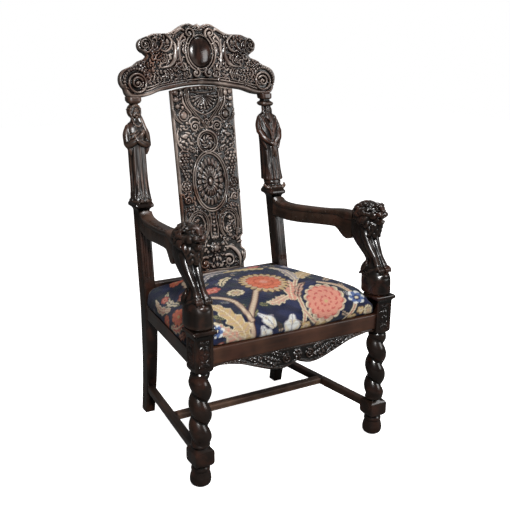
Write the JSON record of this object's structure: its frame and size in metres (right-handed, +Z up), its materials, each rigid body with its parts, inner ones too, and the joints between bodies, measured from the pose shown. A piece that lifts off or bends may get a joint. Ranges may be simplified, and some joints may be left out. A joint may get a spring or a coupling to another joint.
{
  "type": "throne chair",
  "caption": "Tall carved oak throne chair with barley-twist front legs, lion arm supports, robed figures on the back posts and a floral tapestry seat.",
  "frame": {"origin": "on the floor, under the middle of the whole box", "axes": "+Z up, the sitter faces -Y, +X is to the viewer's right when the chair is seen from the front"},
  "size_m": [0.71, 0.6926, 1.3003],
  "materials": {
    "dark_oak": "carved oak, nearly black in the hollows, brown and glossy on worn high points",
    "rail_oak": "reddish brown waxed oak with open grain",
    "worn_oak": "rubbed oak stretchers, lighter along their top edges",
    "tapestry": "woven wool tapestry, navy ground with coral, cream and ochre flowers, matt"
  },
  "bodies": {
    "root": {"crest_rail": "dark_oak", "splat": "dark_oak", "back_post_left": "dark_oak", "back_post_right": "dark_oak", "arm_left": "dark_oak", "arm_right": "dark_oak", "lion_support_left": "dark_oak", "lion_support_right": "dark_oak", "front_leg_left": "dark_oak", "front_leg_right": "dark_oak", "front_rail": "rail_oak", "front_apron": "dark_oak", "side_rail_left": "rail_oak", "side_rail_right": "rail_oak", "back_rail": "dark_oak", "side_stretcher_left": "worn_oak", "side_stretcher_right": "worn_oak", "cross_stretcher": "worn_oak", "seat_cushion": "tapestry"}
  },
  "joints": []
}
